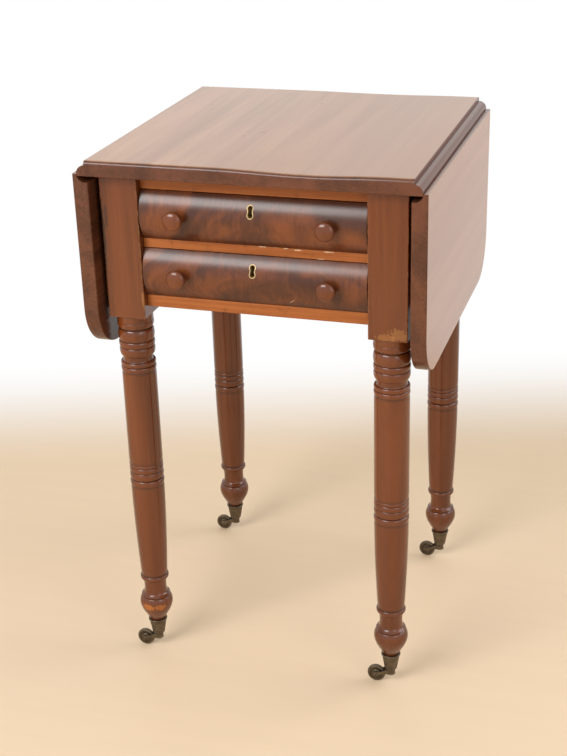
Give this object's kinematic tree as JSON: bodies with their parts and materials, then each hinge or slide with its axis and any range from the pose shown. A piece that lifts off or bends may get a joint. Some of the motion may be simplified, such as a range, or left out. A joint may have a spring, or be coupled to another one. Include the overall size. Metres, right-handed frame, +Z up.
{
  "type": "sewing stand",
  "caption": "Drop-leaf wooden sewing stand with rule-jointed leaves, cushion-fronted dovetailed drawers, ring-turned legs and brass socket casters.",
  "frame": {"origin": "on the floor under the middle of the top", "axes": "+Z up, -Y towards the drawer fronts, +X to the right of someone facing the drawers"},
  "size_m": [0.446, 0.43, 0.73],
  "materials": {
    "mahogany": "aged shellac over reddish brown mahogany",
    "flame_veneer": "aged shellac over dark flame-figured veneer",
    "cherry": "worn shellac over orange-brown cherry",
    "poplar": "bare planed wood, darkened by age",
    "brass": "worn bright brass",
    "dark_brass": "dark brown patina",
    "iron": "dull forged iron"
  },
  "bodies": {
    "carcase": {"top_board": "mahogany", "hinge_top_flap_front_left": "iron", "hinge_top_flap_front_right": "iron", "hinge_top_flap_rear_left": "iron", "hinge_top_flap_rear_right": "iron", "leg_front_left": "mahogany", "leg_front_right": "mahogany", "leg_rear_left": "mahogany", "leg_rear_right": "mahogany", "front_top_rail": "cherry", "drawer_divider_rail": "cherry", "front_bottom_rail": "cherry", "back_panel": "poplar", "side_panel_left": "mahogany", "side_panel_right": "mahogany", "upper_runner_left": "poplar", "upper_runner_right": "poplar", "lower_runner_left": "poplar", "lower_runner_right": "poplar", "caster_socket_front_left": "dark_brass", "caster_socket_front_right": "dark_brass", "caster_socket_rear_left": "dark_brass", "caster_socket_rear_right": "dark_brass"},
    "left_leaf": {"leaf_left": "mahogany", "hinge_leaf_flap_front_left": "iron", "hinge_leaf_flap_rear_left": "iron"},
    "right_leaf": {"leaf_right": "mahogany", "hinge_leaf_flap_front_right": "iron", "hinge_leaf_flap_rear_right": "iron"},
    "upper_drawer": {"upper_drawer_front": "flame_veneer", "upper_drawer_side_left": "poplar", "upper_drawer_side_right": "poplar", "upper_drawer_back": "poplar", "upper_drawer_bottom": "poplar", "upper_knob_left": "mahogany", "upper_knob_right": "mahogany", "upper_escutcheon": "brass", "upper_lock_case": "brass"},
    "lower_drawer": {"lower_drawer_front": "flame_veneer", "lower_drawer_side_left": "poplar", "lower_drawer_side_right": "poplar", "lower_drawer_back": "poplar", "lower_drawer_bottom": "poplar", "lower_knob_left": "mahogany", "lower_knob_right": "mahogany", "lower_escutcheon": "brass", "lower_lock_case": "brass"},
    "upper_bolt": {"upper_lock_bolt": "brass"},
    "lower_bolt": {"lower_lock_bolt": "brass"},
    "left_bracket": {"leaf_bracket_left": "poplar"},
    "right_bracket": {"leaf_bracket_right": "poplar"},
    "front_left_caster": {"caster_horn_front_left": "dark_brass"},
    "front_right_caster": {"caster_horn_front_right": "dark_brass"},
    "rear_left_caster": {"caster_horn_rear_left": "dark_brass"},
    "rear_right_caster": {"caster_horn_rear_right": "dark_brass"},
    "front_left_wheel": {"caster_wheel_front_left": "dark_brass"},
    "front_right_wheel": {"caster_wheel_front_right": "dark_brass"},
    "rear_left_wheel": {"caster_wheel_rear_left": "dark_brass"},
    "rear_right_wheel": {"caster_wheel_rear_right": "dark_brass"}
  },
  "joints": [
    {"name": "left_leaf_hinge", "type": "hinge", "parent": "carcase", "child": "left_leaf", "pos_m": [-0.2065, 0, 0.7135], "axis": [0, 1, 0], "range_deg": [0, 90]},
    {"name": "right_leaf_hinge", "type": "hinge", "parent": "carcase", "child": "right_leaf", "pos_m": [0.2065, 0, 0.7135], "axis": [0, -1, 0], "range_deg": [0, 90]},
    {"name": "upper_drawer_slide", "type": "slide", "parent": "carcase", "child": "upper_drawer", "axis": [0, -1, 0], "range_m": [0, 0.25]},
    {"name": "lower_drawer_slide", "type": "slide", "parent": "carcase", "child": "lower_drawer", "axis": [0, -1, 0], "range_m": [0, 0.25]},
    {"name": "upper_bolt_slide", "type": "slide", "parent": "upper_drawer", "child": "upper_bolt", "axis": [0, 0, 1], "range_m": [0, 0.006]},
    {"name": "lower_bolt_slide", "type": "slide", "parent": "lower_drawer", "child": "lower_bolt", "axis": [0, 0, 1], "range_m": [0, 0.006]},
    {"name": "left_bracket_swing", "type": "hinge", "parent": "carcase", "child": "left_bracket", "pos_m": [-0.1845, 0, 0.7026], "axis": [0, 0, -1], "range_deg": [0, 5]},
    {"name": "right_bracket_swing", "type": "hinge", "parent": "carcase", "child": "right_bracket", "pos_m": [0.1845, 0, 0.7026], "axis": [0, 0, 1], "range_deg": [0, 5]},
    {"name": "front_left_caster_swivel", "type": "hinge", "parent": "carcase", "child": "front_left_caster", "pos_m": [-0.1715, -0.17175, 0.0246], "axis": [0, 0, 1], "continuous": true},
    {"name": "front_right_caster_swivel", "type": "hinge", "parent": "carcase", "child": "front_right_caster", "pos_m": [0.1715, -0.17175, 0.0246], "axis": [0, 0, 1], "continuous": true},
    {"name": "rear_left_caster_swivel", "type": "hinge", "parent": "carcase", "child": "rear_left_caster", "pos_m": [-0.1715, 0.17175, 0.0246], "axis": [0, 0, 1], "continuous": true},
    {"name": "rear_right_caster_swivel", "type": "hinge", "parent": "carcase", "child": "rear_right_caster", "pos_m": [0.1715, 0.17175, 0.0246], "axis": [0, 0, 1], "continuous": true},
    {"name": "front_left_wheel_spin", "type": "hinge", "parent": "front_left_caster", "child": "front_left_wheel", "pos_m": [-0.1917, -0.17175, 0.0125], "axis": [0, 1, 0], "continuous": true},
    {"name": "front_right_wheel_spin", "type": "hinge", "parent": "front_right_caster", "child": "front_right_wheel", "pos_m": [0.1513, -0.17175, 0.0125], "axis": [0, 1, 0], "continuous": true},
    {"name": "rear_left_wheel_spin", "type": "hinge", "parent": "rear_left_caster", "child": "rear_left_wheel", "pos_m": [-0.1917, 0.17175, 0.0125], "axis": [0, 1, 0], "continuous": true},
    {"name": "rear_right_wheel_spin", "type": "hinge", "parent": "rear_right_caster", "child": "rear_right_wheel", "pos_m": [0.1513, 0.17175, 0.0125], "axis": [0, 1, 0], "continuous": true}
  ]
}
